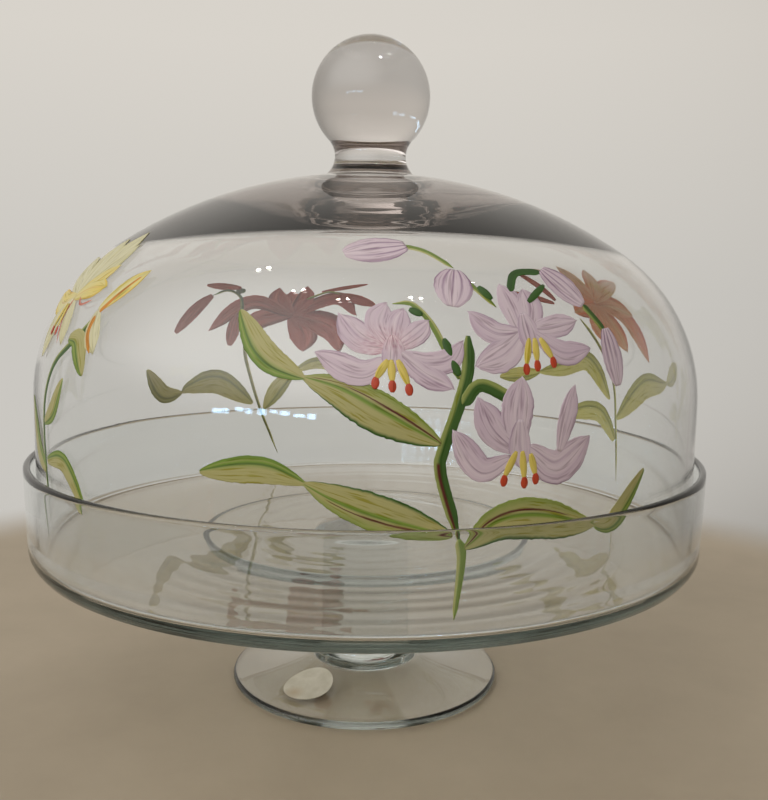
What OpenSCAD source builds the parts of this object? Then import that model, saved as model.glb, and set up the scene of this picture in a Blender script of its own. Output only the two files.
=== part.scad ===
// Footed glass cake stand with a gallery rim and a lift-off glass dome.
// The origin is on the table, under the centre of the foot, with +Z up.

/* [Tray] */
// Outer diameter of the tray at its rim
tray_d = 300; // [240:1:360]
// Height of the tray, from its underside to the rim
tray_h = 41; // [30:1:60]
// Wall of the gallery rim
tray_wall = 3; // [2.5:0.5:5]
// Thickness of the tray floor
tray_floor = 5; // [4:0.5:8]
// Outer radius where the floor turns up into the wall
tray_corner_r = 6; // [4:0.5:9]
// Inner radius where the floor meets the wall, where the dome leaves room for it
tray_fillet = 2; // [1:0.5:3]

/* [Pedestal] */
// Height of the tray's underside above the table
tray_lift = 68; // [50:1:100]
// Diameter of the plate that carries the tray
bearing_d = 150; // [100:1:200]
// Thickness of that plate
bearing_t = 5.5; // [4.5:0.5:9]
// Radius of that plate's rounded edges
bearing_edge_r = 2.2; // [1:0.1:2.2]
// Diameter of the straight column
stem_d = 40; // [30:1:56]
// Radius of the flare at each end of the column
stem_flare_r = 4; // [2:0.5:6]
// Diameter of the foot
foot_d = 125; // [100:1:180]
// Thickness of the foot at its rim
foot_edge_t = 3.4; // [3:0.2:5]
// Height at which the column stands on the foot
foot_crown_h = 12; // [9:0.5:18]
// Width of the ring on which the foot stands, round its hollow underside
foot_ring_w = 6; // [4:0.5:10]
// Thickness of the foot's glass under the column
foot_roof_t = 4; // [3:0.5:6]

/* [Dome] */
// Clearance all round between the dome and the gallery rim
dome_gap = 2; // [1:0.5:4]
// Wall of the dome
dome_wall = 3; // [2.5:0.5:5]
// Thickness at the middle of the crown, as far as the crown has room for it
dome_crown_t = 9; // [3:1:12]
// Radius of the melted-round edges of the dome's rim
dome_rim_r = 1; // [0.4:0.1:1.2]
// Height of the straight wall, above the tray floor
dome_straight_h = 63; // [40:1:90]
// Rise of the crown above the straight wall
dome_rise = 97; // [84:1:120]
// Radius of the shoulder between wall and crown
dome_shoulder_r = 75; // [60:1:80]

/* [Knob] */
// Diameter of the ball
knob_d = 52; // [40:1:60]
// Narrowest diameter of the neck
knob_neck_d = 32; // [24:1:36]
// Radius of the neck's hollow curve, which runs into the ball
knob_neck_r = 10.5; // [8:0.5:13]
// Depth of the neck's lower end below the top of the crown
knob_sink = 1; // [0.5:0.5:2]

/* [Label] */
// Diameter of the round paper label on the foot
label_d = 22; // [16:1:26]
// Thickness of the label
label_t = 0.2; // [0.15:0.05:0.4]
// Distance of the label's centre from the axis
label_reach = 40; // [38:1:44]
// Direction of the label, counted from +X
label_azimuth = 231; // [0:1:359]

/* [Hidden] */

$fn = 96;
fine_fn = 240;
slack = 1;

glass = [0.80, 0.86, 0.84, 0.45];
thick_glass = [0.62, 0.72, 0.70, 0.60];
paper = [0.86, 0.84, 0.77];

tray_r = tray_d / 2;
tray_inner_r = tray_r - tray_wall;
tray_fillet_r = min(tray_fillet, dome_gap);
floor_z = tray_lift + tray_floor;
bearing_z = tray_lift - bearing_t;

stem_r = stem_d / 2;
stem_h = bearing_z - foot_crown_h;

foot_r = foot_d / 2;
foot_edge_r = foot_edge_t / 2;
// The foot's upper side is one hollow arc from the rim up to the column
foot_arc_start = foot_r - foot_edge_r;
foot_arc_end = stem_r + stem_flare_r;
foot_arc_run = foot_arc_start - foot_arc_end;
foot_arc_rise = foot_crown_h - foot_edge_t;
foot_arc_r = (pow(foot_arc_run, 2) + pow(foot_arc_rise, 2)) / (2 * foot_arc_rise);
// The hollow under the foot has a flat roof and an arc that runs beside the upper one
foot_roof_z = foot_crown_h - foot_roof_t;
hollow_centre_z = (pow(foot_arc_run, 2) + pow(foot_roof_z, 2) - pow(foot_ring_w, 2)) / (2 * foot_roof_z);
hollow_r = sqrt(pow(hollow_centre_z, 2) + pow(foot_ring_w, 2));

dome_r = tray_inner_r - dome_gap;
shoulder_z = floor_z + dome_straight_h;
shoulder_centre_r = dome_r - dome_shoulder_r;
crown_z = shoulder_z + dome_rise;
// Radius of a crown that rises above its wall and runs smoothly into the shoulder
function crown_radius(wall_r, shoulder_r, rise) =
    (pow(wall_r, 2) - 2 * wall_r * shoulder_r + pow(rise, 2)) / (2 * (rise - shoulder_r));
crown_r = crown_radius(dome_r, dome_shoulder_r, dome_rise);
crown_centre_z = crown_z - crown_r;
// Share of the crown's own rise that its thickness may take up
crown_share = 0.75;
crown_t = min(dome_crown_t, dome_wall + crown_share * (dome_rise - dome_shoulder_r));

ball_r = knob_d / 2;
// Centre of the neck's hollow curve, which starts on the crown and touches the ball
neck_centre_r = knob_neck_d / 2 + knob_neck_r;
neck_centre_z = crown_z + knob_neck_r - knob_sink;
neck_to_ball = sqrt(pow(ball_r + knob_neck_r, 2) - pow(neck_centre_r, 2));
neck_top_z = neck_centre_z + neck_to_ball * knob_neck_r / (ball_r + knob_neck_r);
ball_z = neck_centre_z + neck_to_ball;
// Height inside the crown's glass at which the neck is cut off
neck_root_z = crown_centre_z + sqrt(pow(crown_r, 2) - pow(neck_centre_r, 2)) - slack;

// Right half of a flat outline, ready to be turned about the Z axis
module half_plane(reach) {
    translate([0, -reach])
        square([reach, 2 * reach]);
}

// Rectangle from the axis out to r, with its outer corners rounded by edge_r
module rounded_slab(r, z, t, edge_r) {
    translate([0, z])
        square([r - edge_r, t]);
    translate([0, z + edge_r])
        square([r, t - 2 * edge_r]);
    for (end = [z + edge_r, z + t - edge_r])
        translate([r - edge_r, end])
            circle(edge_r);
}

module tray_outline() {
    outer_h = tray_h - tray_wall / 2;
    translate([0, tray_lift])
        square([tray_r - tray_corner_r, tray_corner_r]);
    translate([tray_r - tray_corner_r, tray_lift + tray_corner_r])
        circle(tray_corner_r);
    translate([0, tray_lift + tray_corner_r])
        square([tray_r, outer_h - tray_corner_r]);
}

module tray_well() {
    well_r = tray_inner_r - tray_fillet_r;
    translate([0, floor_z])
        square([well_r, tray_h]);
    translate([0, floor_z + tray_fillet_r])
        square([tray_inner_r, tray_h]);
    translate([well_r, floor_z + tray_fillet_r])
        circle(tray_fillet_r);
}

module tray() {
    color(glass)
        rotate_extrude($fn = fine_fn) {
            difference() {
                tray_outline();
                tray_well();
            }
            translate([tray_r - tray_wall / 2, tray_lift + tray_h - tray_wall / 2])
                circle(tray_wall / 2);
        }
}

module bearing_plate() {
    color(thick_glass)
        rotate_extrude($fn = fine_fn)
            rounded_slab(bearing_d / 2, bearing_z, bearing_t, bearing_edge_r);
}

module stem() {
    flare_reach = stem_r + stem_flare_r;
    color(thick_glass)
        rotate_extrude($fn = fine_fn)
            difference() {
                translate([0, foot_crown_h])
                    square([flare_reach, stem_h]);
                for (end = [foot_crown_h + stem_flare_r, bearing_z - stem_flare_r])
                    translate([flare_reach, end])
                        circle(stem_flare_r);
                translate([stem_r, foot_crown_h + stem_flare_r])
                    square([flare_reach, stem_h - 2 * stem_flare_r]);
            }
}

// Half outline of the foot without its hollow, with its upper side raised by lift
module foot_outline(lift) {
    square([foot_arc_start, foot_edge_t / 2]);
    translate([foot_arc_start, foot_edge_r])
        intersection() {
            circle(foot_edge_r);
            half_plane(foot_d);
        }
    difference() {
        square([foot_arc_start, foot_crown_h + lift]);
        translate([foot_arc_start, foot_edge_t + foot_arc_r + lift])
            circle(foot_arc_r, $fn = fine_fn);
    }
}

module foot() {
    color(thick_glass)
        rotate_extrude($fn = fine_fn)
            difference() {
                foot_outline(0);
                difference() {
                    translate([0, -slack])
                        square([foot_arc_start, foot_roof_z + slack]);
                    translate([foot_arc_start, hollow_centre_z])
                        circle(hollow_r, $fn = fine_fn);
                }
            }
}

module label() {
    color(paper)
        intersection() {
            difference() {
                rotate_extrude($fn = fine_fn)
                    foot_outline(label_t);
                rotate_extrude($fn = fine_fn)
                    foot_outline(0);
            }
            rotate([0, 0, label_azimuth])
                translate([label_reach, 0, slack])
                    cylinder(d = label_d, h = foot_crown_h);
        }
}

// Half outline of the dome, inset from its outer wall, and by top_inset at the top
module dome_outline(inset, top_inset) {
    shoulder_r = dome_shoulder_r - inset;
    rise = dome_rise - top_inset;
    radius = crown_radius(dome_r - inset, shoulder_r, rise);
    centre_z = shoulder_z + rise - radius;
    wedge_top = radius + slack;
    wedge_reach = wedge_top * shoulder_centre_r / (shoulder_z - centre_z);
    translate([0, floor_z - slack])
        square([dome_r - inset, dome_straight_h + slack]);
    intersection() {
        translate([shoulder_centre_r, shoulder_z])
            circle(shoulder_r, $fn = fine_fn);
        translate([0, shoulder_z])
            square([dome_r, dome_rise]);
    }
    intersection() {
        translate([0, centre_z])
            circle(radius, $fn = fine_fn);
        translate([0, centre_z])
            polygon([[0, 0], [wedge_reach, wedge_top], [0, wedge_top]]);
        translate([0, shoulder_z])
            square([dome_r, dome_rise]);
    }
}

module dome_shell() {
    rim_mid_r = dome_r - dome_wall / 2;
    color(glass)
        rotate_extrude($fn = fine_fn) {
            difference() {
                dome_outline(0, 0);
                dome_outline(dome_wall, crown_t);
                translate([0, floor_z - 2 * slack])
                    square([dome_r + slack, 2 * slack + dome_rim_r]);
            }
            translate([rim_mid_r - dome_wall / 2 + dome_rim_r, floor_z])
                square([dome_wall - 2 * dome_rim_r, dome_rim_r]);
            for (side = [-1, 1])
                translate([rim_mid_r + side * (dome_wall / 2 - dome_rim_r),
                        floor_z + dome_rim_r])
                    circle(dome_rim_r);
        }
}

module knob() {
    color(thick_glass)
        rotate_extrude($fn = fine_fn)
            difference() {
                union() {
                    intersection() {
                        translate([0, ball_z])
                            circle(ball_r, $fn = fine_fn);
                        half_plane(ball_z + knob_d);
                    }
                    difference() {
                        translate([0, neck_root_z])
                            square([neck_centre_r, neck_top_z - neck_root_z]);
                        translate([neck_centre_r, neck_centre_z])
                            circle(knob_neck_r);
                    }
                }
                translate([0, crown_centre_z])
                    circle(crown_r, $fn = fine_fn);
            }
}

tray();
bearing_plate();
stem();
foot();
label();
dome_shell();
knob();
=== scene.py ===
"""Looks of a footed glass cake stand with a painted glass dome.

Lengths are in metres and glass outlines are radius and height. The paint is laid out in millimetres on
the dome's skin: x runs round the dome from the spray's own bearing, y runs up the skin from the rim.
"""

import math

import bpy
import numpy as np
from mathutils import Matrix, Vector


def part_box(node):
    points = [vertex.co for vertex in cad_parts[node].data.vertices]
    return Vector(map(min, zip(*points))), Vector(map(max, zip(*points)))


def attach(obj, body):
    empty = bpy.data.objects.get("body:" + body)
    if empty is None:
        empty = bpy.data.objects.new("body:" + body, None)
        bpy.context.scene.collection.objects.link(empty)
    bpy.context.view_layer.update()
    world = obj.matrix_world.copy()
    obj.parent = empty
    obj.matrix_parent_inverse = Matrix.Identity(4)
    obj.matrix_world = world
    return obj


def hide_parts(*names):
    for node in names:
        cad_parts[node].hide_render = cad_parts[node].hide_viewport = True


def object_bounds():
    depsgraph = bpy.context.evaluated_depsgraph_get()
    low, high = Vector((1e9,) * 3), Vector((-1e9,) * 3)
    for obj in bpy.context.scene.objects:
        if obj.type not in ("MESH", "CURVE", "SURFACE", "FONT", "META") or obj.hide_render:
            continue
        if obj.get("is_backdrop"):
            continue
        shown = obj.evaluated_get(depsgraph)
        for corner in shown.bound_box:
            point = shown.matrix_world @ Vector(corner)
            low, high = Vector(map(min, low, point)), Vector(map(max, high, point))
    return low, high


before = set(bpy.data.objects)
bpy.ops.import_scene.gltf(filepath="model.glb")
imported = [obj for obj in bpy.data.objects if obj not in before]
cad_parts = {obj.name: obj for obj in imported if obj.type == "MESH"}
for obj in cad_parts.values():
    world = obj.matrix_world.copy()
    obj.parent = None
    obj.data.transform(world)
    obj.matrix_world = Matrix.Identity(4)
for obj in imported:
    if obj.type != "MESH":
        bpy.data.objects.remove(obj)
CAD_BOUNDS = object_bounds()
MM = 0.001

# ---------------------------------------------------------------- sizes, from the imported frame

TRAY_LOW, TRAY_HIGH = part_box("tray")
PLATE_LOW, PLATE_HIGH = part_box("bearing_plate")
STEM_LOW, STEM_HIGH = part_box("stem")
FOOT_LOW, FOOT_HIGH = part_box("foot")
DOME_LOW, DOME_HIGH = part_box("dome_shell")
KNOB_LOW, KNOB_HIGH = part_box("knob")


def reach(low, high):
    """The largest radius that stays inside a node's box."""
    return min(-low.x, -low.y, high.x, high.y)


TRAY_R = reach(TRAY_LOW, TRAY_HIGH)
TRAY_WALL = 3.0 * MM
TRAY_CORNER_R = 6.0 * MM
TRAY_FILLET_R = 2.0 * MM
TRAY_TAPER = 1.2 * MM
TOP_RING_H = 0.028 * MM
UNDER_RING_H = 0.018 * MM
RING_PITCH = 9.0 * MM
WIDE_RING_PITCH = 15.0 * MM
FLOOR_Z = DOME_LOW.z
PLATE_R = reach(PLATE_LOW, PLATE_HIGH)
PLATE_EDGE_R = 2.2 * MM
STEM_R = 20.0 * MM
STEM_FLARE_R = 4.0 * MM
FOOT_R = reach(FOOT_LOW, FOOT_HIGH)
FOOT_EDGE_R = 1.7 * MM
FOOT_RING_W = 6.0 * MM
FOOT_ROOF_T = 4.0 * MM

DOME_R = reach(DOME_LOW, DOME_HIGH)
DOME_WALL = 3.0 * MM
DOME_RIM_R = 1.2 * MM
SHOULDER_R = 75.0 * MM
SHOULDER_Z = DOME_LOW.z + 63.0 * MM
CROWN_Z = DOME_HIGH.z
RISE = CROWN_Z - SHOULDER_Z
SHOULDER_CENTRE_R = DOME_R - SHOULDER_R


def crown_radius(wall_r, shoulder_r, rise):
    """Radius of the crown that runs smoothly into the shoulder and ends rise above its centre."""
    return (wall_r**2 - 2 * wall_r * shoulder_r + rise**2) / (2 * (rise - shoulder_r))


CROWN_R = crown_radius(DOME_R, SHOULDER_R, RISE)
CROWN_CENTRE_Z = CROWN_Z - CROWN_R
CROWN_ANGLE = math.atan2(SHOULDER_CENTRE_R, SHOULDER_Z - CROWN_CENTRE_Z)
CROWN_T = 9.0 * MM
CROWN_RINGS_IN = 20.0 * MM
CROWN_RINGS_OUT = 95.0 * MM
CROWN_RING_H = 0.005 * MM
CROWN_RING_PITCH = 7.5 * MM
CROWN_DROP = 45.0 * MM
INNER_BULGE = 0.08 * MM

BALL_R = reach(KNOB_LOW, KNOB_HIGH)
BALL_Z = KNOB_HIGH.z - BALL_R
NECK_R = 16.0 * MM
NECK_CURVE_R = 10.5 * MM
NECK_START_DEG = 262
NECK_SEAT_GAP = 1.5 * MM

TINY = 1e-7
FINE_STEP = 0.4 * MM
EDGE_STEP = 0.6 * MM


# ---------------------------------------------------------------- turned glass

def arc(centre, radius, start, end, step=1.5 * MM):
    """Points on an arc of the outline, angles in degrees from +r towards +z."""
    sweep = math.radians(end - start)
    count = max(4, math.ceil(abs(sweep) * radius / step))
    angles = [math.radians(start) + sweep * i / count for i in range(count + 1)]
    return [(centre[0] + radius * math.cos(a), centre[1] + radius * math.sin(a)) for a in angles]


def run(start, end, step=2.0 * MM):
    """Points on a straight stretch of the outline, without its ends."""
    count = max(1, math.ceil(math.dist(start, end) / step))
    shares = [i / count for i in range(1, count)]
    return [(start[0] + (end[0] - start[0]) * s, start[1] + (end[1] - start[1]) * s) for s in shares]


def joined(*stretches):
    """One outline from its stretches, with straight runs between them."""
    points = []
    for stretch in stretches:
        if points and math.dist(points[-1], stretch[0]) > TINY:
            points += run(points[-1], stretch[0])
        points += [p for p in stretch if not points or math.dist(points[-1], p) > TINY]
    return points


def new_object(name, verts, faces):
    """A smooth-shaded mesh object, linked to the scene."""
    mesh = bpy.data.meshes.new(name)
    mesh.from_pydata([tuple(v) for v in verts], [], faces)
    mesh.validate()
    mesh.update()
    mesh.polygons.foreach_set("use_smooth", [True] * len(mesh.polygons))
    piece = bpy.data.objects.new(name, mesh)
    bpy.context.scene.collection.objects.link(piece)
    return piece


def turned(name, outline, wave, segments=288):
    """A closed solid of revolution; wave(r, z, azimuth) moves the radius and the height a little."""
    count = len(outline)
    verts = [(0.0, 0.0, outline[0][1])]
    for r, z in outline[1:-1]:
        for i in range(segments):
            azimuth = 2 * math.pi * i / segments
            dr, dz = wave(r, z, azimuth)
            verts.append(((r + dr) * math.sin(azimuth), -(r + dr) * math.cos(azimuth), z + dz))
    verts.append((0.0, 0.0, outline[-1][1]))
    last = len(verts) - 1

    def vert(ring, i):
        return 1 + (ring - 1) * segments + i % segments

    faces = []
    for i in range(segments):
        faces.append((0, vert(1, i + 1), vert(1, i)))
        faces.append((last, vert(count - 2, i), vert(count - 2, i + 1)))
        for ring in range(1, count - 2):
            faces.append((vert(ring, i), vert(ring, i + 1), vert(ring + 1, i + 1), vert(ring + 1, i)))
    return new_object(name, verts, faces)


def foot_stretches():
    """The foot's hollow underside, its round edge and its sweep up to the stem."""
    edge_start = FOOT_R - FOOT_EDGE_R
    edge_top = 2 * FOOT_EDGE_R
    run_out = edge_start - STEM_R - STEM_FLARE_R
    rise = STEM_LOW.z - edge_top
    sweep_r = (run_out**2 + rise**2) / (2 * rise)
    sweep_deg = math.degrees(math.asin(run_out / sweep_r))
    roof_z = STEM_LOW.z - FOOT_ROOF_T
    hollow_z = (run_out**2 + roof_z**2 - FOOT_RING_W**2) / (2 * roof_z)
    hollow_r = math.hypot(hollow_z, FOOT_RING_W)
    roof_deg = math.degrees(math.atan2(roof_z - hollow_z, -run_out))
    ring_deg = math.degrees(math.atan2(-hollow_z, -FOOT_RING_W))
    return [
        [(0, roof_z)],
        arc((edge_start, hollow_z), hollow_r, roof_deg, ring_deg),
        arc((edge_start, FOOT_EDGE_R), FOOT_EDGE_R, -90, 90, EDGE_STEP),
        arc((edge_start, edge_top + sweep_r), sweep_r, -90, -90 - sweep_deg),
    ]


def stand_outline():
    """The fused stand in one outline: foot, stem, bearing plate and tray."""
    flare_r = STEM_R + STEM_FLARE_R
    rim_r = TRAY_WALL / 2
    plate_centre = (PLATE_R - PLATE_EDGE_R, PLATE_LOW.z + PLATE_EDGE_R)
    corner_centre = (TRAY_R - TRAY_CORNER_R, TRAY_LOW.z + TRAY_CORNER_R)
    fillet_centre = (TRAY_R - TRAY_WALL - TRAY_FILLET_R, FLOOR_Z + TRAY_FILLET_R)
    return joined(
        *foot_stretches(),
        arc((flare_r, STEM_LOW.z + STEM_FLARE_R), STEM_FLARE_R, 270, 180, EDGE_STEP),
        arc((flare_r, STEM_HIGH.z - STEM_FLARE_R), STEM_FLARE_R, 180, 90, EDGE_STEP),
        arc(plate_centre, PLATE_EDGE_R, -90, 50, EDGE_STEP),
        arc(corner_centre, TRAY_CORNER_R, -90, 0, 0.8 * MM),
        arc((TRAY_R - rim_r, TRAY_HIGH.z - rim_r), rim_r, 0, 180, FINE_STEP),
        arc(fillet_centre, TRAY_FILLET_R, 0, -90, 0.5 * MM),
        [(0, FLOOR_Z)],
    )


def wall_lean(r, z):
    """How far the tray's wall stands in at a height, from nothing at its rim."""
    down = (TRAY_HIGH.z - z) / (TRAY_HIGH.z - TRAY_LOW.z)
    on_wall = z > FLOOR_Z + TRAY_CORNER_R or r > TRAY_R - 2 * MM
    return TRAY_TAPER * down**1.5 * (1.0 if on_wall else 0.7)


def stand_wave(r, z, azimuth):
    """The wall leans out a little, and the tray's floor carries faint rings from its making.

    The rings fade out towards the middle and the wall, and lie mostly below the floor's own level.
    """
    if z < TRAY_LOW.z - 0.1 * MM:
        return 0.0, 0.0
    if r > TRAY_R - 2 * TRAY_CORNER_R:
        return -wall_lean(r, z), 0.0
    fade = min(1.0, max(0.0, (r - 12 * MM) / (20 * MM)), max(0.0, (TRAY_R - 14 * MM - r) / (12 * MM)))
    rings = math.sin(2 * math.pi * r / RING_PITCH) + 0.6 * math.sin(2 * math.pi * r / WIDE_RING_PITCH + 1.0)
    sway = 1 + 0.35 * math.sin(azimuth + 0.6) + 0.2 * math.sin(3 * azimuth)
    if z > FLOOR_Z - 0.5 * MM:
        return 0.0, -TOP_RING_H * (1 + rings * sway) * fade
    return 0.0, UNDER_RING_H * rings * fade


def skin(arc_length):
    """Radius, height and outward slope of the dome's outer skin, by the length up from the rim."""
    wall = SHOULDER_Z - DOME_LOW.z
    shoulder = SHOULDER_R * (math.pi / 2 - CROWN_ANGLE)
    if arc_length <= wall:
        return DOME_R, DOME_LOW.z + arc_length, 0.0
    if arc_length <= wall + shoulder:
        lean = (arc_length - wall) / SHOULDER_R
        r = SHOULDER_CENTRE_R + SHOULDER_R * math.cos(lean)
        return r, SHOULDER_Z + SHOULDER_R * math.sin(lean), lean
    lean = math.pi / 2 - CROWN_ANGLE + (arc_length - wall - shoulder) / CROWN_R
    return CROWN_R * math.cos(lean), CROWN_CENTRE_Z + CROWN_R * math.sin(lean), lean


def on_skin(bearing, x_mm, y_mm, height):
    """A point on the dome, x_mm round from the bearing in degrees, y_mm up the skin, height above it."""
    r, z, lean = skin(y_mm * MM)
    azimuth = math.radians(bearing) + x_mm * MM / r
    out_r = r + height * math.cos(lean)
    return (out_r * math.sin(azimuth), -out_r * math.cos(azimuth), z + height * math.sin(lean))


def inner_stretches():
    """The dome's inner face, from the middle of the crown down to the rim."""
    wall_r = DOME_R - DOME_WALL
    shoulder_r = SHOULDER_R - DOME_WALL
    crown_r = crown_radius(wall_r, shoulder_r, RISE - CROWN_T)
    centre_z = CROWN_Z - CROWN_T - crown_r
    meet_deg = math.degrees(math.atan2(SHOULDER_Z - centre_z, SHOULDER_CENTRE_R))
    return [
        arc((0, centre_z), crown_r, 90, meet_deg),
        arc((SHOULDER_CENTRE_R, SHOULDER_Z), shoulder_r, meet_deg, 0),
    ]


def knob_stretches():
    """The neck's curve, up from the crown, and the ball."""
    centre_r = NECK_R + NECK_CURVE_R
    centre_z = BALL_Z - math.sqrt((BALL_R + NECK_CURVE_R) ** 2 - centre_r**2)
    touch_deg = math.degrees(math.atan2(BALL_Z - centre_z, -centre_r))
    return [
        arc((centre_r, centre_z), NECK_CURVE_R, NECK_START_DEG, touch_deg, 0.8 * MM),
        arc((0, BALL_Z), BALL_R, touch_deg - 180, 90, 1.0 * MM),
    ]


def dome_outline():
    """The fused dome in one outline: inner face, rim, outer skin, neck and ball."""
    rim_z = DOME_LOW.z + DOME_RIM_R
    crown_deg = 90 - math.degrees(CROWN_ANGLE)
    seat_deg = math.degrees(math.acos((NECK_R + NECK_CURVE_R + NECK_SEAT_GAP) / CROWN_R))
    return joined(
        *inner_stretches(),
        arc((DOME_R - DOME_WALL + DOME_RIM_R, rim_z), DOME_RIM_R, 180, 270, FINE_STEP),
        arc((DOME_R - DOME_RIM_R, rim_z), DOME_RIM_R, 270, 360, FINE_STEP),
        arc((SHOULDER_CENTRE_R, SHOULDER_Z), SHOULDER_R, 0, crown_deg),
        arc((0, CROWN_CENTRE_Z), CROWN_R, crown_deg, seat_deg),
        *knob_stretches(),
    )


def under_skin(r, z):
    """How deep a point of the dome lies under its outer skin."""
    if z < SHOULDER_Z:
        return DOME_R - r
    if math.atan2(r, z - CROWN_CENTRE_Z) > CROWN_ANGLE:
        return SHOULDER_R - math.hypot(r - SHOULDER_CENTRE_R, z - SHOULDER_Z)
    return CROWN_R - math.hypot(r, z - CROWN_CENTRE_Z)


def crown_rings(r, azimuth, inner):
    """Height of the faint rings round the crown, which fade out towards the knob and the shoulder."""
    fade = min(1.0, (r - CROWN_RINGS_IN) / (12 * MM), (CROWN_RINGS_OUT - r) / (30 * MM))
    rings = math.sin(2 * math.pi * r / CROWN_RING_PITCH + (0.7 if inner else 0.0))
    sway = 1 + 0.4 * math.sin(azimuth * 2 + 0.4)
    return CROWN_RING_H * (rings - 1) * sway * fade


def dome_wave(r, z, azimuth):
    """Blown glass: the inner face sways a little, and faint rings run round the crown."""
    inner = under_skin(r, z) > DOME_WALL / 2
    above_rim = z - DOME_LOW.z
    if above_rim < 6 * MM:
        return 0.0, 0.0
    if CROWN_Z - CROWN_DROP < z < CROWN_Z and CROWN_RINGS_IN < r < CROWN_RINGS_OUT:
        return 0.0, crown_rings(r, azimuth, inner)
    if not inner:
        return 0.0, 0.0
    share = min(1.0, above_rim / (40 * MM), max(0.0, (r - CROWN_RINGS_OUT) / (30 * MM)))
    bulge = math.sin(3 * azimuth + z / (30 * MM)) + 0.6 * math.sin(7 * azimuth - z / (22 * MM) + 1.3)
    return INNER_BULGE * bulge * share, 0.0


# ---------------------------------------------------------------- materials

GLASS_IOR = 1.5
BLACK = (0.0, 0.0, 0.0, 1.0)
WHITE = (1.0, 1.0, 1.0, 1.0)
FINE_BRISTLES = (0.10, 1.8, 1.0)
BROAD_BRISTLES = (0.09, 1.0, 1.0)


def mixed(a, b, share):
    """A colour between a and b; the share is kept from 0 to 1."""
    share = min(1.0, max(0.0, share))
    return tuple(p + (q - p) * share for p, q in zip(a, b))


def srgb(r, g, b):
    """A linear colour from 0 to 255 display values."""
    def linear(v):
        v /= 255.0
        return v / 12.92 if v <= 0.04045 else ((v + 0.055) / 1.055) ** 2.4
    return (linear(r), linear(g), linear(b), 1.0)


def add_node(tree, kind, inputs=None, **settings):
    """A node of a tree with its settings, its inputs set to a value or linked from a socket."""
    node = tree.nodes.new(kind)
    for key, value in settings.items():
        setattr(node, key, value)
    for key, value in (inputs or {}).items():
        if isinstance(value, bpy.types.NodeSocket):
            tree.links.new(value, node.inputs[key])
        else:
            node.inputs[key].default_value = value
    return node


def ramp_colour(tree, factor, stops):
    """A colour ramp through stops, each its position and colour, driven by a socket."""
    node = add_node(tree, "ShaderNodeValToRGB", {"Fac": factor})
    elements = node.color_ramp.elements
    while len(elements) < len(stops):
        elements.new(0.5)
    for element, (position, colour) in zip(elements, stops):
        element.position = position
        element.color = colour
    return node.outputs["Color"]


class Nodes:
    """A small helper that adds nodes to one material and links them."""

    def __init__(self, name):
        self.material = bpy.data.materials.new(name)
        self.material.use_nodes = True
        self.tree = self.material.node_tree
        self.tree.nodes.clear()
        self.output = self.add("ShaderNodeOutputMaterial")

    def add(self, kind, inputs=None, **settings):
        return add_node(self.tree, kind, inputs, **settings)

    def noise(self, vector, scale, detail=3.0, rough=0.5):
        """A noise value from about 0 to 1."""
        inputs = {"Vector": vector, "Scale": scale, "Detail": detail, "Roughness": rough}
        return self.add("ShaderNodeTexNoise", inputs).outputs["Fac"]

    def ramp(self, factor, *stops):
        return ramp_colour(self.tree, factor, stops)

    def spread(self, factor, low, high):
        """A value from low to high for a factor from 0 to 1."""
        node = self.add("ShaderNodeMapRange", {"Value": factor, "To Min": low, "To Max": high})
        return node.outputs["Result"]

    def bump(self, height, strength, distance):
        """A normal that follows a height."""
        inputs = {"Height": height, "Strength": strength, "Distance": distance}
        return self.add("ShaderNodeBump", inputs).outputs["Normal"]

    def mix(self, factor, first, second):
        """A colour that goes from first to second."""
        inputs = {"Fac": factor, "Color1": first, "Color2": second}
        return self.add("ShaderNodeMixRGB", inputs).outputs["Color"]

    def shader_mix(self, factor, first, second):
        """A shader that goes from first to second."""
        node = self.add("ShaderNodeMixShader", {"Fac": factor})
        self.tree.links.new(first.outputs[0], node.inputs[1])
        self.tree.links.new(second.outputs[0], node.inputs[2])
        return node

    def surface(self, shader):
        """Makes a shader the material's surface."""
        self.tree.links.new(shader.outputs[0], self.output.inputs["Surface"])


def clear_glass(name, tint, absorb, density, smear):
    """Clear glass with a coloured body, a faint uneven surface and a few greasy smears."""
    n = Nodes(name)
    place = n.add("ShaderNodeTexCoord").outputs["Object"]
    smears = n.ramp(n.noise(place, 26.0, 4.0, 0.6), (0.55, BLACK), (0.75, WHITE))
    pale_tint = mixed(tint, WHITE, 0.5)
    shader = n.add("ShaderNodeBsdfPrincipled", {
        "Base Color": n.ramp(n.noise(place, 9.0), (0.3, tint), (0.7, pale_tint)),
        "Roughness": n.spread(smears, 0.0, smear),
        "Normal": n.bump(n.noise(place, 18.0, 1.0), 0.04, 2 * MM),
        "IOR": GLASS_IOR,
        "Transmission Weight": 1.0,
    })
    n.surface(shader)
    volume = n.add("ShaderNodeVolumeAbsorption", {"Color": absorb, "Density": density})
    n.tree.links.new(volume.outputs[0], n.output.inputs["Volume"])
    return n.material


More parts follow.
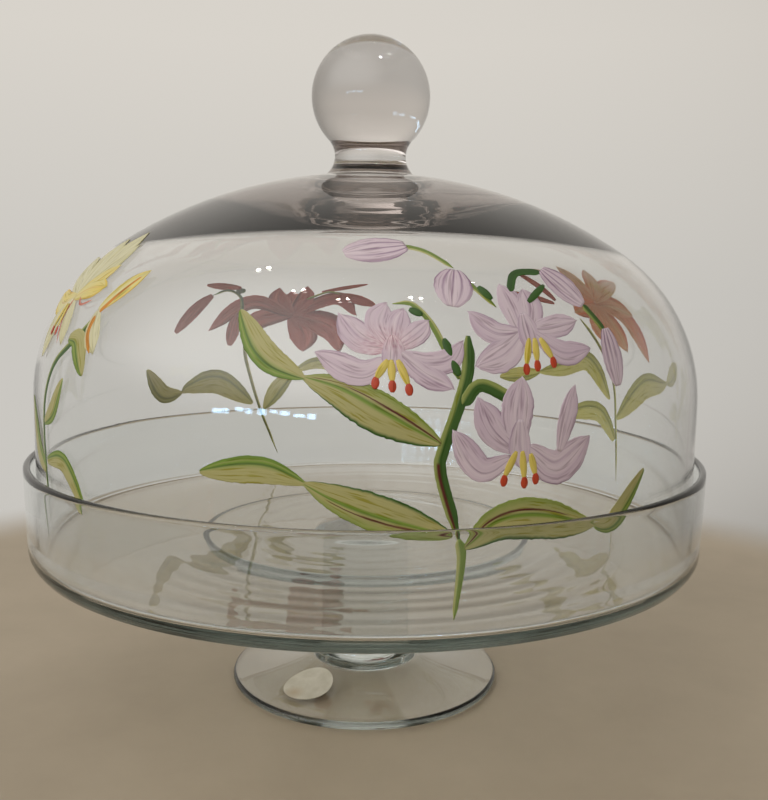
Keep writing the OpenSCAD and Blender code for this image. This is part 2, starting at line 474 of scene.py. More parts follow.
def enamel(name, gloss=0.38, through=0.15):
    """Hand-brushed enamel: the stroke's own colour, bristle lines along it, a little light through it."""
    n = Nodes(name)
    colour = n.add("ShaderNodeVertexColor", layer_name="paint").outputs["Color"]
    stroke = n.add("ShaderNodeUVMap", uv_map="stroke").outputs["UV"]
    fine = n.add("ShaderNodeMapping", {"Vector": stroke, "Scale": FINE_BRISTLES}).outputs["Vector"]
    broad = n.add("ShaderNodeMapping", {"Vector": stroke, "Scale": BROAD_BRISTLES}).outputs["Vector"]
    lines = n.noise(fine, 1.0, 2.0, 0.6)
    loaded = {"Value": n.noise(broad, 1.0, 1.5, 0.5), "From Min": 0.54, "From Max": 0.66, "To Max": 0.85}
    streaks = n.add("ShaderNodeMapRange", loaded).outputs["Result"]
    uneven = {"Color": colour, "Value": n.spread(lines, 0.86, 1.14)}
    shade = n.add("ShaderNodeHueSaturation", uneven).outputs["Color"]
    thick = {"Color": shade, "Saturation": 1.55, "Value": 0.64}
    deep = n.add("ShaderNodeHueSaturation", thick).outputs["Color"]
    brushed = n.mix(streaks, shade, deep)
    paint = n.add("ShaderNodeBsdfPrincipled", {
        "Base Color": brushed,
        "Roughness": n.spread(lines, gloss - 0.08, gloss + 0.1),
        "Normal": n.bump(lines, 0.15, 0.2 * MM),
    })
    glow = n.add("ShaderNodeBsdfTranslucent", {"Color": brushed})
    n.surface(n.shader_mix(through, paint, glow))
    return n.material


def aged_paper(name):
    """Off-white sticker paper with fibres, uneven patches and one small brown stain."""
    n = Nodes(name)
    place = n.add("ShaderNodeTexCoord").outputs["Object"]
    fibres = n.noise(place, 900.0, 4.0, 0.7)
    patches = n.noise(place, 160.0, 3.0, 0.6)
    label_low, label_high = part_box("label")
    stain_at = Vector((label_low.x + 4.5 * MM, label_low.y + 5.5 * MM, (label_low.z + label_high.z) / 2))
    away = n.add("ShaderNodeVectorMath", {0: place, 1: stain_at}, operation="DISTANCE").outputs["Value"]
    near = n.add("ShaderNodeMapRange", {"Value": away, "From Min": 6 * MM, "From Max": 1.5 * MM})
    stain = n.add("ShaderNodeMath", {0: near.outputs["Result"], 1: patches}, operation="MULTIPLY")
    paper = n.ramp(patches, (0.3, srgb(196, 189, 170)), (0.7, srgb(214, 208, 192)))
    shader = n.add("ShaderNodeBsdfPrincipled", {
        "Base Color": n.mix(stain.outputs["Value"], paper, srgb(168, 136, 86)),
        "Roughness": n.spread(fibres, 0.7, 0.9),
        "Normal": n.bump(fibres, 0.3, 0.2 * MM),
    })
    n.surface(shader)
    return n.material


# ---------------------------------------------------------------- paint strokes

LILAC = [srgb(240, 224, 230), srgb(222, 200, 214), srgb(142, 96, 138)]
BURGUNDY = [srgb(206, 104, 92), srgb(174, 46, 40), srgb(114, 16, 18)]
SALMON = [srgb(232, 192, 150), srgb(240, 104, 50), srgb(196, 62, 26)]
YELLOW = [srgb(238, 232, 176), srgb(240, 214, 96), srgb(226, 150, 50)]
CREAM = [srgb(236, 232, 200), srgb(226, 220, 170), srgb(196, 186, 120)]
LEAF = [srgb(192, 186, 124), srgb(134, 162, 58), srgb(62, 104, 36)]
FAR_LEAF = [srgb(206, 200, 116), srgb(172, 172, 78), srgb(116, 124, 46)]
STALK = [srgb(176, 182, 104), srgb(96, 134, 52), srgb(54, 92, 34)]
PALE_STALK = [srgb(206, 204, 140), srgb(170, 180, 92), srgb(110, 140, 54)]
MAROON = srgb(98, 34, 28)
POLLEN = srgb(240, 218, 110)
ANTHER = srgb(212, 78, 44)
PINK = srgb(220, 130, 110)
PALE_HEART = srgb(252, 230, 234)
ROSE_HEART = srgb(196, 128, 150)


def dense_curve(points, steps=16):
    """Closely spaced points on a smooth curve through the given ones."""
    pts = [Vector((*p, 0)) for p in points]
    if len(pts) == 2:
        pts.insert(1, (pts[0] + pts[1]) / 2)
    pts = [2 * pts[0] - pts[1]] + pts + [2 * pts[-1] - pts[-2]]
    dense = []
    for a, b, c, d in zip(pts, pts[1:], pts[2:], pts[3:]):
        slope, bend, twist = c - a, 2 * a - 5 * b + 4 * c - d, 3 * b - a - 3 * c + d
        for i in range(steps):
            s = i / steps
            dense.append(0.5 * (2 * b + slope * s + bend * s**2 + twist * s**3))
    dense.append(pts[-2])
    return dense


def smooth_path(points, count):
    """Evenly spread points on a smooth curve through the given ones, and the curve's length."""
    dense = dense_curve(points)
    lengths = [0.0]
    for p, q in zip(dense, dense[1:]):
        lengths.append(lengths[-1] + (q - p).length)
    spaced, j = [], 0
    for i in range(count + 1):
        target = lengths[-1] * i / count
        while j < len(lengths) - 2 and lengths[j + 1] < target:
            j += 1
        gap = lengths[j + 1] - lengths[j]
        share = 0.0 if gap == 0 else (target - lengths[j]) / gap
        spaced.append(dense[j].lerp(dense[j + 1], share))
    return spaced, lengths[-1]


class Spray:
    """All strokes of one painted spray, gathered into one mesh that lies on the dome.

    The strokes' points and widths are in millimetres. Each stroke lies LIFT higher than the one before
    it, so that later strokes cover earlier ones. Each lilac flower starts again at FLOWER_LAYER, so that
    its petals stay close to the glass.
    """

    LIFT = 0.022 * MM
    BASE = 0.02 * MM
    FLOWER_LAYER = 8

    def __init__(self, name, bearing):
        self.name = name
        self.bearing = bearing
        self.verts, self.faces, self.colours, self.uvs = [], [], [], []
        self.layer = 0
        self.random = np.random.default_rng(len(name) + int(abs(bearing)))

    def stroke(self, points, width, profile, colour, body=0.07 * MM, fray=0.0):
        """A closed, slightly raised brush mark along points, profile(u) wide, colour(u, v) across.

        u runs from 0 to 1 along the stroke and v from -1 to 1 across it. fray is how many millimetres
        the bristles leave its far end ragged.
        """
        path, length = smooth_path(points, max(8, int(math.dist(points[0], points[-1]) / 0.9)))
        rows, columns = len(path), 8 + int(width / 0.45)
        first = len(self.verts)
        self.layer += 1
        under = self.BASE + self.LIFT * self.layer
        seed = self.random.uniform(0, 50)
        edge = self.random.uniform(-1, 1, (rows, 2))
        bristle_ends = np.repeat(self.random.uniform(-1, 1, columns // 3 + 2), 3)
        for i, point in enumerate(path):
            u = i / (rows - 1)
            ahead = path[min(i + 1, rows - 1)] - path[max(i - 1, 0)]
            across = Vector((-ahead.y, ahead.x, 0)).normalized()
            half = max(0.05, width / 2 * profile(u))
            onward = ahead.normalized() * fray * max(0.0, (u - 0.75) / 0.25)
            thickness = body * min(1.0, half / 1.5)
            for on_top in (True, False):
                for k in range(columns + 1):
                    v = -1 + 2 * k / columns
                    ragged = 1 + 0.035 * edge[i][0 if v < 0 else 1] * abs(v)
                    place = point + across * half * v * ragged + onward * bristle_ends[k]
                    height = under + (thickness * (1 - 0.75 * v * v) if on_top else 0.0)
                    self.verts.append(on_skin(self.bearing, place.x, place.y, height))
                    self.colours.append(colour(u, v))
                    self.uvs.append((seed + u * length, seed + v * width / 2))
        self.close(first, rows, columns)

    def close(self, first, rows, columns):
        """Faces of a stroke whose rows hold the top's points and then the underside's."""
        wide = columns + 1
        last = rows - 1

        def at(i, on_top, k):
            return first + (i * 2 + (0 if on_top else 1)) * wide + k

        def quad(*corners):
            self.faces.append(corners)

        for i in range(last):
            for k in range(columns):
                quad(at(i, 1, k), at(i, 1, k + 1), at(i + 1, 1, k + 1), at(i + 1, 1, k))
                quad(at(i, 0, k + 1), at(i, 0, k), at(i + 1, 0, k), at(i + 1, 0, k + 1))
            quad(at(i, 0, 0), at(i, 1, 0), at(i + 1, 1, 0), at(i + 1, 0, 0))
            quad(at(i, 1, columns), at(i, 0, columns), at(i + 1, 0, columns), at(i + 1, 1, columns))
        for k in range(columns):
            quad(at(0, 0, k), at(0, 0, k + 1), at(0, 1, k + 1), at(0, 1, k))
            quad(at(last, 1, k), at(last, 1, k + 1), at(last, 0, k + 1), at(last, 0, k))

    def petal(self, points, width, tones, point_at=0.62, heart=0.0, vein=0.0, deep=0.0):
        """A petal from its root to its tip, streaked darker along its edges and its vein.

        It is widest at point_at. heart whitens its root with specks, vein is where its dark line lies,
        and deep gives it a dark root, a pale tip and one edge paler than the other.
        """
        pale, middle, dark = tones
        streaks = self.random.uniform(0, 1, 9)

        def profile(u):
            turn = u * 0.5 / point_at if u < point_at else 0.5 + 0.5 * (u - point_at) / (1 - point_at)
            return 0.22 * (1 - u) + 0.9 * abs(math.sin(math.pi * turn)) ** 0.75

        def colour(u, v):
            column = (v + 1) * 4
            low = int(column) % 9
            streak = streaks[low] + (streaks[(low + 1) % 9] - streaks[low]) * (column - int(column))
            shade = mixed(pale, middle, 0.75 * streak * (0.5 + u) + 0.5 * abs(v) ** 3)
            shade = mixed(shade, dark, 0.55 * max(0.0, 1 - abs(v - vein) / 0.10) * (1 - 0.7 * u))
            shade = mixed(shade, dark, 0.45 * max(0.0, (-v - 0.82) / 0.18))
            shade = mixed(shade, dark, deep * max(0.0, 1 - u / 0.55))
            shade = mixed(shade, pale, deep * max(0.0, u - 0.6) * 1.6)
            shade = mixed(shade, pale, 1.3 * deep * max(0.0, (v - 0.35) / 0.65))
            shade = mixed(shade, dark, 1.8 * deep * max(0.0, (-v - 0.45) / 0.55))
            if not heart:
                return shade
            speck = mixed(PALE_HEART, ROSE_HEART, self.random.random() ** 2)
            return mixed(shade, speck, heart * max(0.0, 1.5 - u / 0.40))

        self.stroke(points, width, profile, colour, fray=0.9)

    def bud(self, points, width, tones):
        """A closed bud with long dark strokes from its stalk end."""
        pale, middle, dark = tones

        def profile(u):
            return 0.12 + 0.95 * math.sin(math.pi * (0.04 + 0.94 * u)) ** 0.62

        def colour(u, v):
            lines = 0.5 + 0.5 * math.cos(v * 13 + 1.5 * u)
            shade = mixed(pale, middle, 0.5 * abs(v) + 0.35 * (1 - u))
            return mixed(shade, dark, 0.95 * max(0.0, lines - 0.70) / 0.30 * (1.0 - 0.75 * u))

        self.stroke(points, width, profile, colour)

    def leaf(self, points, width, twist=None, tones=LEAF, flip=1, maroon=True, second=0.72):
        """A blade with a dark half, a pale half and, if maroon, a maroon rib.

        It may turn over at twist, and is then second times as wide. flip swaps its halves.
        """
        pale, middle, dark = tones

        def profile(u):
            blade = math.sin(math.pi * min(1.0, 0.04 + 0.96 * u)) ** 0.7
            if twist is None:
                return 0.10 + 0.9 * blade
            lobe = u / twist if u < twist else (u - twist) / (1 - twist)
            size = 1.0 if u < twist else second
            return 0.09 + 0.95 * size * math.sin(math.pi * min(1.0, max(0.0, lobe))) ** 0.75

        def near(w, line, spread):
            return max(0.0, 1 - abs(w - line) / max(spread, TINY))

        def colour(u, v):
            turned_over = twist is not None and u > twist
            w = v * flip * (-1 if turned_over else 1)
            along = u / (twist or 1.0)
            if turned_over or not maroon:
                shade = mixed(pale, middle, 2.2 * max(0.0, w - 0.05))
                shade = mixed(shade, dark, 0.85 * near(w, 0.42, 0.13) + 0.5 * near(w, 1.0, 0.2))
                return mixed(shade, pale, 0.5 * near(w, 0.68, 0.08))
            rib = 0.34 + 0.16 * along
            shade = mixed(pale, middle, 0.55 * max(0.0, w - rib) / 0.4)
            shade = mixed(shade, middle, 1.3 * near(w, rib - 0.26, 0.17))
            shade = mixed(shade, dark, 0.5 * near(w, rib - 0.20, 0.06))
            shade = mixed(shade, dark, 1.5 * near(w, -1.0, 0.34 * (1 - 0.75 * along)))
            return mixed(shade, MAROON, 1.8 * near(w, rib, 0.13 * (1 - along)))

        self.stroke(points, width, profile, colour)

    def stalk(self, points, width, tones=STALK, taper=0.35, maroon=None, flip=1):
        """A stalk, pale on one side and dark on the other, thin at its far end.

        maroon is the stretch of u that carries a maroon line, and flip swaps the two sides.
        """
        pale, middle, dark = tones

        def profile(u):
            return (1 - taper * u) * min(1.0, 0.35 + 8 * u, 0.2 + 6 * (1 - u))

        def colour(u, v):
            shade = mixed(pale, dark, 1.2 + 2.2 * v * flip)
            shade = mixed(shade, middle, 0.25)
            if maroon is not None and maroon[0] < u < maroon[1]:
                shade = mixed(shade, MAROON, 1.5 * max(0.0, 1 - abs(v * flip + 0.25) / 0.4))
            return shade

        self.stroke(points, width, profile, colour)

    def dab(self, start, end, width, shade):
        """One short full dab of the brush."""
        darker = tuple(0.75 * c for c in shade[:3]) + (1.0,)

        def profile(u):
            return 0.15 + 0.9 * math.sin(math.pi * (0.06 + 0.9 * u)) ** 0.6

        def colour(u, v):
            return mixed(shade, darker, 0.8 * max(0.0, v))

        self.stroke([start, end], width, profile, colour, 0.22 * MM)

    def stamens(self, roots_and_tips):
        """Pollen-yellow threads with a red anther that hangs from the end of each."""
        for root, tip in roots_and_tips:
            self.dab(root, tip, 2.4, POLLEN)
            away = Vector((tip[0] - root[0], tip[1] - root[1])).normalized()
            down = Vector((0.25 * away.x, -1.0)).normalized()
            start = (tip[0] - down.x * 0.6, tip[1] - down.y * 0.6)
            end = (tip[0] + down.x * 3.1, tip[1] + down.y * 3.1)
            self.dab(start, end, 2.4, ANTHER)

    def piece(self, material):
        """The finished spray, which rides on the dome."""
        spray = new_object(self.name, self.verts, self.faces)
        mesh = spray.data
        paint = mesh.color_attributes.new("paint", "FLOAT_COLOR", "POINT")
        paint.data.foreach_set("color", [c for colour in self.colours for c in colour])
        stroke = mesh.uv_layers.new(name="stroke")
        loops = [self.uvs[loop.vertex_index] for loop in mesh.loops]
        stroke.data.foreach_set("uv", [c for uv in loops for c in uv])
        mesh.materials.append(material)
        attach(spray, "dome")


def lilac_stalks(s):
    """The main stalk, the leaves at its foot and the thin stalks of the buds."""
    main = [(5, 96), (4, 85), (1, 75), (-4, 61), (-5, 53), (0, 36), (1, 31)]
    s.stalk(main, 4.2, taper=0.1, maroon=(0.62, 0.98))
    s.stalk([(1, 32), (2, 25), (0, 6)], 3.6, tones=PALE_STALK, taper=0.6)
    upper_leaf = [(-5, 62), (-23, 71), (-36, 78), (-49, 83), (-60, 90), (-67, 104)]
    s.leaf(upper_leaf, 12.5, twist=0.60, flip=-1)
    left_leaf = [(-1, 33), (-23, 40), (-37, 45), (-49, 50), (-62, 53), (-82, 51)]
    s.leaf(left_leaf, 11.5, twist=0.58, flip=1)
    right_leaf = [(3, 29), (14, 36), (26, 37), (42, 34), (48, 33), (60, 32), (78, 48)]
    s.leaf(right_leaf, 13.0, twist=0.60, flip=1, second=0.45)
    s.stalk([(2, 74), (8, 80), (19, 75)], 4.2, taper=0.0, flip=-1)
    s.stalk([(1, 82), (-3, 92), (-7, 101), (-12, 107), (-18, 107)], 2.6, tones=PALE_STALK)
    s.stalk([(-11, 133), (-4, 130), (4, 122)], 2.6, tones=PALE_STALK)
    s.stalk([(4, 121), (10, 113), (16, 106)], 2.2, tones=PALE_STALK)
    s.stalk([(22, 112), (26, 120), (37, 121)], 3.0, tones=[LEAF[2], LEAF[2], STALK[2]], taper=0.0)
    s.stalk([(51, 107), (55, 102), (59, 97)], 2.6, taper=0.0)


def lilac_buds(s):
    """Dark bracts along the stalks, and four closed buds."""
    bracts = [
        ((-1, 89), (-3, 95)),
        ((1, 83), (-1, 88)),
        ((-13, 105), (-9, 103)),
        ((11, 114), (15, 109)),
        ((28, 108), (36, 115)),
    ]
    for start, end in bracts:
        s.dab(start, end, 2.6, LEAF[2])
    s.bud([(-10, 133), (-31, 128)], 12.0, LILAC)
    s.bud([(4, 121), (1, 106)], 12.0, LILAC)
    s.bud([(37, 122), (51, 107)], 10.0, LILAC)
    s.bud([(59, 98), (62, 78)], 9.0, LILAC)


def lilac_left_flower(s):
    """The left flower, its heart pale and speckled."""
    s.layer = s.FLOWER_LAYER
    s.petal([(-20, 92), (-29, 95), (-35, 103)], 10.0, LILAC, heart=0.8)
    s.petal([(-20, 92), (-23, 100), (-20, 107)], 9.0, LILAC, heart=0.7)
    s.petal([(-19, 92), (-17, 100), (-15, 105)], 8.5, LILAC, heart=0.7)
    s.petal([(-18, 92), (-11, 97), (-7, 101)], 7.5, LILAC, heart=0.5)
    s.petal([(-21, 88), (-30, 84), (-43, 90)], 9.0, LILAC, vein=0.2)
    s.petal([(-17, 90), (-9, 87), (-2, 88), (3, 94)], 8.0, LILAC)
    s.petal([(-18, 91), (-10, 84), (-1, 79)], 8.0, LILAC, vein=-0.2)
    s.petal([(-19, 96), (-19, 91), (-20, 84)], 7.5, LILAC, heart=0.7)
    s.stamens([((-21, 88), (-25, 82)), ((-20, 88), (-20, 81)), ((-18, 88), (-15, 80))])


def lilac_right_flower(s):
    """The upper right flower, its petals spread all round."""
    s.layer = s.FLOWER_LAYER
    s.petal([(24, 96), (22, 106), (19, 115)], 9.5, LILAC)
    s.petal([(26, 96), (28, 106), (27, 113)], 10.5, LILAC)
    s.petal([(24, 97), (14, 97), (6, 104)], 8.5, LILAC)
    s.petal([(24, 97), (17, 90), (7, 86)], 10.5, LILAC)
    s.petal([(27, 98), (36, 99), (46, 101)], 8.5, LILAC)
    s.petal([(28, 97), (38, 90), (50, 91)], 8.5, LILAC)
    s.petal([(25, 104), (26, 98), (27, 90)], 8.0, LILAC)
    s.stamens([((26, 95), (24, 86)), ((28, 95), (28, 87)), ((30, 95), (34, 88))])


def lilac_lower_flower(s):
    """The lower right flower, most of its petals raised."""
    s.layer = s.FLOWER_LAYER
    s.petal([(20, 59), (12, 66), (7, 76)], 10.0, LILAC)
    s.petal([(21, 60), (20, 70), (22, 82)], 11.5, LILAC)
    s.petal([(18, 57), (8, 54), (-1, 66)], 9.0, LILAC, vein=0.3)
    s.petal([(24, 60), (35, 53), (48, 62)], 12.0, LILAC, vein=0.3)
    s.petal([(36, 58), (38, 66), (42, 79)], 7.0, LILAC)
    s.petal([(21, 69), (21, 62), (22, 53)], 8.0, LILAC)
    s.stamens([((20, 59), (16, 51)), ((22, 59), (23, 50)), ((25, 58), (27, 51))])


def lilac_spray(material):
    """The front spray: three open flowers and four buds on one green stalk."""
    s = Spray("lilac_spray", 11)
    lilac_stalks(s)
    lilac_buds(s)
    lilac_left_flower(s)
    lilac_right_flower(s)
    lilac_lower_flower(s)
    s.piece(material)


def lily(s, centre, tones, petals, deep=0.45):
    """Petals round one centre; each is its tip, the bend of its middle and its width."""
    for tip, bend, width in petals:
        middle = ((centre[0] + tip[0]) / 2 + bend[0], (centre[1] + tip[1]) / 2 + bend[1])
        s.petal([centre, middle, tip], width, tones, deep=deep)


def burgundy_spray(material):
    """The back spray: one wide burgundy flower with five buds."""
    s = Spray("burgundy_spray", -160)
    s.stalk([(24, 90), (28, 74), (24, 55), (17, 33), (7, 9)], 2.6, tones=FAR_LEAF, taper=0.5)
    s.stalk([(31, 92), (33, 108), (42, 114), (52, 110)], 2.4, tones=STALK)
    s.stalk([(-8, 108), (-20, 114), (-28, 112)], 1.8, tones=FAR_LEAF)
    s.leaf([(23, 40), (45, 54), (64, 52), (72, 49), (84, 50), (95, 64)], 14.0, 0.62, FAR_LEAF, 1, False)
    s.leaf([(16, 36), (4, 52), (-10, 62), (-22, 64), (-38, 58)], 10.0, 0.45, FAR_LEAF, 1, False)
    s.bud([(52, 110), (62, 100), (75, 85)], 8.0, BURGUNDY)
    s.bud([(34, 116), (57, 118)], 5.0, BURGUNDY)
    s.bud([(-28, 112), (-50, 104)], 6.5, BURGUNDY)
    s.bud([(-16, 114), (-42, 121)], 3.0, BURGUNDY)
    s.bud([(34, 96), (38, 76)], 8.0, BURGUNDY)
    s.dab((31, 114), (37, 113), 4.0, STALK[2])
    lily(s, (0, 96), BURGUNDY, [
        ((52, 86), (0, 14), 11.0),
        ((32, 86), (0, 3), 13.0),
        ((10, 116), (4, 0), 13.0),
        ((-7, 118), (-3, 0), 11.0),
        ((2, 114), (0, 0), 13.0),
        ((-40, 96), (-6, 13), 10.0),
        ((-32, 72), (-9, 4), 17.0),
        ((-9, 72), (-4, 0), 18.0),
    ])
    s.piece(material)


def salmon_spray(material):
    """The right spray: one salmon flower, its back petals paler than its front ones."""
    s = Spray("salmon_spray", 114)
    s.stalk([(18, 98), (8, 80), (-1, 60), (-4, 36), (-6, 9)], 2.4, tones=FAR_LEAF, taper=0.5)
    s.leaf([(2, 52), (20, 72), (40, 66), (58, 62), (82, 58)], 12.0, 0.7, FAR_LEAF, 1, False)
    s.leaf([(-3, 31), (12, 44), (38, 39)], 11.0, None, FAR_LEAF, 1, False)
    s.leaf([(-4, 42), (-28, 62), (-52, 66), (-74, 78)], 13.0, 0.72, FAR_LEAF, -1, False)
    s.bud([(30, 110), (40, 136)], 5.5, BURGUNDY)
    s.bud([(32, 108), (56, 116)], 4.5, BURGUNDY)
    pale = [SALMON[0], mixed(SALMON[0], SALMON[1], 0.3), SALMON[1]]
    lily(s, (0, 110), pale, [
        ((24, 138), (4, 2), 13.0),
        ((4, 140), (0, 0), 11.0),
        ((-16, 136), (-2, 0), 11.0),
        ((-34, 124), (-2, 3), 11.0),
    ])
    lily(s, (0, 108), SALMON, [
        ((-30, 102), (0, 3), 13.0),
        ((-34, 76), (-4, 9), 13.0),
        ((-14, 80), (0, 0), 14.0),
        ((4, 84), (2, 0), 15.0),
        ((20, 102), (2, 0), 13.0),
    ])
    s.piece(material)


def yellow_spray(material):
    """The left spray: one yellow flower with pale tall petals, and one opening bud."""
    s = Spray("yellow_spray", -50)
    s.stalk([(13, 102), (9, 95), (2, 89), (-10, 79), (-17, 60), (-16, 40), (-9, 16)], 3.0, taper=0.3)
    s.leaf([(-14, 44), (0, 46), (8, 42), (19, 30)], 7.5, flip=1, maroon=False)
    s.leaf([(-16, 40), (-28, 48), (-38, 66)], 10.0, flip=-1, maroon=False)
    s.leaf([(-16, 58), (-6, 64), (2, 76)], 7.0, flip=-1, maroon=False)
    s.leaf([(-1, 91), (7, 90), (16, 78)], 9.0, flip=-1, maroon=False)
    lily(s, (-14, 108), CREAM, [
        ((-6, 144), (3, 0), 15.0),
        ((3, 134), (2, 0), 13.0),
        ((-20, 140), (1, 0), 14.0),
        ((-38, 128), (0, 0), 13.0),
    ], deep=0.0)
    s.petal([(-14, 108), (-26, 104), (-42, 108)], 11.0, YELLOW)
    s.petal([(-15, 106), (-24, 96), (-28, 82)], 11.0, CREAM, vein=0.3)
    s.petal([(-13, 106), (-10, 98), (-7, 88)], 8.0, CREAM, vein=0.3)
    s.petal([(-13, 108), (-2, 115), (6, 122)], 8.0, YELLOW)
    s.petal([(-14, 107), (-4, 111), (8, 112)], 10.0, YELLOW)
    s.stalk([(-14, 107), (-9, 108), (-4, 104), (4, 106)], 1.3, tones=[PINK] * 3)
    s.stalk([(-14, 106), (-15, 98), (-11, 88)], 1.3, tones=[PINK] * 3)
    s.petal([(13, 102), (20, 110), (28, 119)], 8.0, YELLOW, vein=-0.2)
    s.petal([(13, 102), (15, 94), (20, 86)], 9.0, CREAM, vein=-0.5)
    s.stalk([(14, 101), (20, 109), (27, 118)], 2.2, tones=[YELLOW[2]] * 3)
    s.stalk([(13, 100), (13, 93), (18, 86)], 2.6, tones=[YELLOW[2]] * 3)
    s.stamens([((-18, 104), (-22, 94)), ((-16, 104), (-16, 94))])
    s.piece(material)


# ---------------------------------------------------------------- stage, light and camera

EYE = (0, -0.416, 0.182)
YAW_DEG, PITCH_DEG, ROLL_DEG = 1.05, 7.0, 0.76
LENS_MM = 40.5
SENSOR_MM = 36.0

WALL_TONE = srgb(216, 211, 203)
LOW_WALL_TONE = srgb(202, 199, 193)
ROOM_TONE = srgb(136, 131, 124)
CEILING_TONE = srgb(238, 233, 225)
WALL_AT = (-0.25, 0.97, 0.0)
LIGHT_FROM = (-0.55, -0.70, 0.45)
LIGHT_TINT = (1.0, 0.985, 0.96, 1.0)
LIGHT_STRENGTH = 1.7
FLOOR_DROP = 0.2 * MM
TABLE_R = 0.33
ROOM_R = 0.43
FLOOR_EXTENT = 12.0
PANE_TINT = (0.45, 0.72, 1.0)
PANE_POWER = 36.0
PANES = 9
FIRST_PANE_DEG, PANE_PITCH_DEG = 17, 3.6
PANE_DISTANCE = 2.0
PANE_H = 0.26
DOME_MIDDLE = Vector((0, 0, 0.12))
CEILING_H = 2.2
CEILING_LAMPS = [(-0.7, -0.6), (-0.3, -0.9), (0.4, -0.8), (0.8, -0.2), (-0.9, 0.1), (0.1, 0.4)]
LAMP_SIZE = 0.03
LAMP_GAP = 0.10
LAMP_POWER = 0.8


def make_camera():
    """The eye is a little above the tray, below the crown, and looks slightly down at the front."""
    yaw, pitch, roll = math.radians(YAW_DEG), math.radians(PITCH_DEG), math.radians(ROLL_DEG)
    level = math.cos(pitch)
    forward = Vector((math.sin(yaw) * level, math.cos(yaw) * level, -math.sin(pitch)))
    data = bpy.data.cameras.new("camera")
    data.lens = LENS_MM
    data.sensor_width = SENSOR_MM
    data.clip_start, data.clip_end = 0.01, 100
    camera = bpy.data.objects.new("camera", data)
    turn = forward.to_track_quat("-Z", "Y").to_matrix() @ Matrix.Rotation(roll, 3, "Z")
    camera.matrix_world = Matrix.Translation(EYE) @ turn.to_4x4()
    bpy.context.scene.collection.objects.link(camera)
    bpy.context.scene.camera = camera


def smooth_step(tree, value, low, high, top=1.0):
    """A socket that rises smoothly from 0 at low to top at high."""
    inputs = {"Value": value, "From Min": low, "From Max": high, "To Max": top}
    node = add_node(tree, "ShaderNodeMapRange", inputs, interpolation_type="SMOOTHSTEP")
    return node.outputs["Result"]


def wall_share(tree, way):
    """How much of the bright wall lies in a direction, from 0 behind the camera to 1 ahead of it."""
    ahead = add_node(tree, "ShaderNodeVectorMath", {0: way, 1: WALL_AT}, operation="DOT_PRODUCT")
    return smooth_step(tree, ahead.outputs["Value"], -0.05, 1.0)


def floor_and_glowing_backdrop():
    """A mottled pale table top that runs out into painted light: past the table it is an emission glowing
    in the colour of the room in each direction, duller behind the camera.
    """
    n = Nodes("floor_and_glowing_backdrop")
    place = n.add("ShaderNodeTexCoord").outputs["Object"]
    away = n.add("ShaderNodeVectorMath", {0: place}, operation="LENGTH").outputs["Value"]
    mottle = n.noise(place, 7.0, 5.0, 0.6)
    colour = n.ramp(mottle, (0.35, srgb(165, 151, 129)), (0.65, srgb(179, 165, 143)))
    rough = n.spread(mottle, 0.45, 0.65)
    table = n.add("ShaderNodeBsdfPrincipled", {"Base Color": colour, "Roughness": rough})
    level = n.add("ShaderNodeVectorMath", {0: place}, operation="NORMALIZE").outputs["Vector"]
    tone = n.mix(wall_share(n.tree, level), ROOM_TONE, LOW_WALL_TONE)
    # painted light: the far floor is no lamp but glows as an emission in the room's tone
    room_glow = n.add("ShaderNodeEmission", {"Color": tone, "Strength": 1.0})
    n.surface(n.shader_mix(smooth_step(n.tree, away, TABLE_R, ROOM_R), table, room_glow))
    return n.material


def make_floor(rings=40, segments=96):
    """A round floor just under the foot, its rings wider apart the farther out they lie."""
    verts = [(0, 0, -FLOOR_DROP)]
    for k in range(1, rings + 1):
        r = FLOOR_EXTENT * (k / rings) ** 2
        angles = [2 * math.pi * i / segments for i in range(segments)]
        verts += [(r * math.cos(a), r * math.sin(a), -FLOOR_DROP) for a in angles]
    faces = [(0, 1 + i, 1 + (i + 1) % segments) for i in range(segments)]
    for k in range(rings - 1):
        inner, outer = 1 + k * segments, 1 + (k + 1) * segments
        for i in range(segments):
            after = (i + 1) % segments
            faces.append((inner + i, outer + i, outer + after, inner + after))
    floor = new_object("floor", verts, faces)
    floor.data.materials.append(floor_and_glowing_backdrop())
    floor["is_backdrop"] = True


def make_world():
    """A plain room: a pale wall and a bright ceiling ahead, duller behind, and a broad soft light.

    The light comes from behind the camera, above and to its left, and fades out at the horizon.
    """
    world = bpy.data.worlds.new("studio")
    bpy.context.scene.world = world
    world.use_nodes = True
    tree = world.node_tree
    tree.nodes.clear()

    def add(kind, inputs=None, **settings):
        return add_node(tree, kind, inputs, **settings)

    way = add("ShaderNodeTexCoord").outputs["Generated"]
    height = add("ShaderNodeSeparateXYZ", {"Vector": way}).outputs["Z"]
    stops = [(0.0, LOW_WALL_TONE), (0.25, WALL_TONE), (0.36, WALL_TONE), (0.62, CEILING_TONE)]
    ahead = ramp_colour(tree, height, stops)
    tone = add("ShaderNodeMixRGB", {"Fac": wall_share(tree, way), "Color1": ROOM_TONE, "Color2": ahead})
    room_glow = add("ShaderNodeBackground", {"Color": tone.outputs["Color"]})
    toward = add("ShaderNodeVectorMath", {0: way, 1: LIGHT_FROM}, operation="DOT_PRODUCT")
    lobe = smooth_step(tree, toward.outputs["Value"], 0.45, 1.0)
    clear = smooth_step(tree, height, 0.0, 0.45, LIGHT_STRENGTH)
    strength = add("ShaderNodeMath", {0: lobe, 1: clear}, operation="MULTIPLY").outputs["Value"]
    front = add("ShaderNodeBackground", {"Color": LIGHT_TINT, "Strength": strength})
    both = add("ShaderNodeAddShader", {0: room_glow.outputs[0], 1: front.outputs[0]})
    add("ShaderNodeOutputWorld", {"Surface": both.outputs[0]})


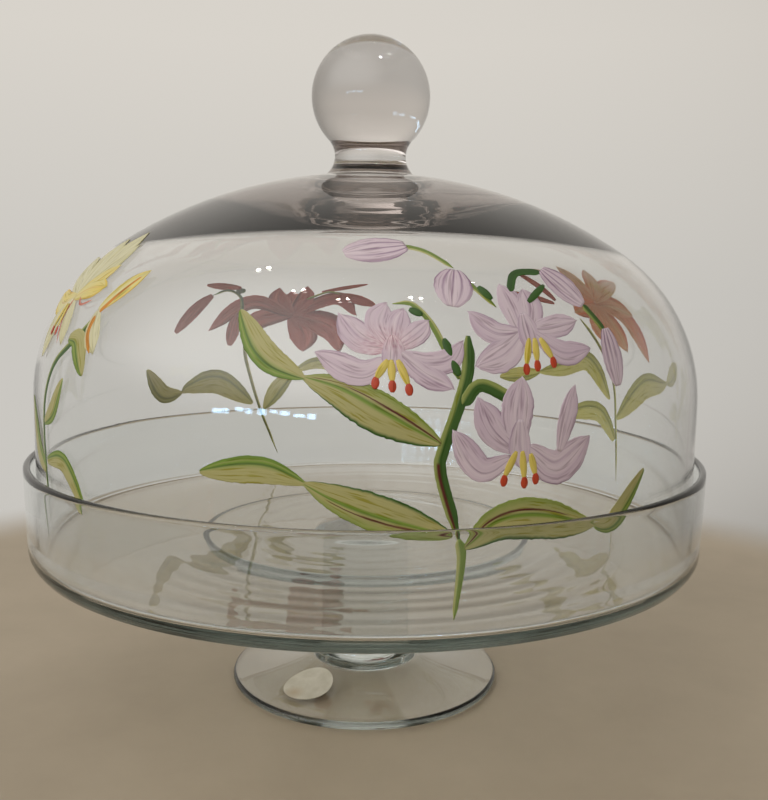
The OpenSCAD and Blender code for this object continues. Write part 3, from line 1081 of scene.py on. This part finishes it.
def softbox(name, place, width, depth, power, tint=(1.0, 0.98, 0.95)):
    """A soft rectangular lamp that faces the dome and only shows as a sparkle in the glass."""
    data = bpy.data.lights.new(name, "AREA")
    data.shape = "RECTANGLE"
    data.size, data.size_y = width, depth
    data.energy = power
    data.color = tint
    lamp = bpy.data.objects.new(name, data)
    way = (DOME_MIDDLE - Vector(place)).to_track_quat("-Z", "Y")
    lamp.matrix_world = Matrix.Translation(place) @ way.to_matrix().to_4x4()
    lamp.visible_diffuse = False
    bpy.context.scene.collection.objects.link(lamp)


def make_lights():
    """A low broken row of window panes and small pairs of ceiling lamps."""
    chance = np.random.default_rng(11)
    for i in range(PANES):
        bearing = math.radians(FIRST_PANE_DEG + PANE_PITCH_DEG * i + chance.uniform(-0.6, 0.6))
        width, depth = chance.uniform(0.04, 0.12), chance.uniform(0.05, 0.12)
        height = PANE_H + chance.uniform(-0.03, 0.05)
        place = (-PANE_DISTANCE * math.sin(bearing), -PANE_DISTANCE * math.cos(bearing), height)
        softbox("pane_%d" % i, place, width, depth, PANE_POWER * width * depth, PANE_TINT)
    for i, (x, y) in enumerate(CEILING_LAMPS):
        for k in range(2):
            place = (x + LAMP_GAP * k, y, CEILING_H)
            softbox("ceiling_%d_%d" % (i, k), place, LAMP_SIZE, LAMP_SIZE, LAMP_POWER)


# ---------------------------------------------------------------- the pieces

STAND_TINT = (0.97, 0.985, 0.98, 1.0)
STAND_ABSORB = (0.30, 0.38, 0.34, 1.0)
STAND_DENSITY = 10.5
STAND_SMEAR = 0.03
DOME_TINT = (0.98, 0.99, 0.988, 1.0)
DOME_ABSORB = (0.32, 0.21, 0.16, 1.0)
DOME_DENSITY = 9.0
DOME_SMEAR = 0.02
DOME_SEGMENTS = 240


def make_stand():
    """The fused glass of the stand."""
    stand = turned("stand_glass", stand_outline(), stand_wave)
    finish = clear_glass("stand_glass", STAND_TINT, STAND_ABSORB, STAND_DENSITY, STAND_SMEAR)
    stand.data.materials.append(finish)
    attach(stand, "stand")
    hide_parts("tray", "bearing_plate", "stem", "foot")


def make_dome():
    """The fused glass of the dome and its knob."""
    dome = turned("dome_glass", dome_outline(), dome_wave, DOME_SEGMENTS)
    finish = clear_glass("dome_glass", DOME_TINT, DOME_ABSORB, DOME_DENSITY, DOME_SMEAR)
    dome.data.materials.append(finish)
    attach(dome, "dome")
    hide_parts("dome_shell", "knob")


def finish_label():
    """The sticker keeps its own shape and gets the look of old paper."""
    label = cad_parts["label"]
    paper = aged_paper("label_paper")
    if not label.material_slots:
        label.data.materials.append(paper)
    for slot in label.material_slots:
        slot.material = paper


def let_light_through():
    """Enough bounces for light that runs along inside the thick crown, in plain display colours."""
    scene = bpy.context.scene
    scene.view_settings.view_transform = "Standard"
    scene.cycles.max_bounces = 24
    scene.cycles.transmission_bounces = 24
    scene.cycles.glossy_bounces = 16
    scene.cycles.blur_glossy = 0.0


make_camera()
make_floor()
make_world()
make_lights()
make_stand()
make_dome()
finish_label()
paint = enamel("enamel_paint")
lilac_spray(paint)
burgundy_spray(paint)
salmon_spray(paint)
yellow_spray(paint)
let_light_through()

[[list(corner) for corner in box] for box in (CAD_BOUNDS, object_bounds())]
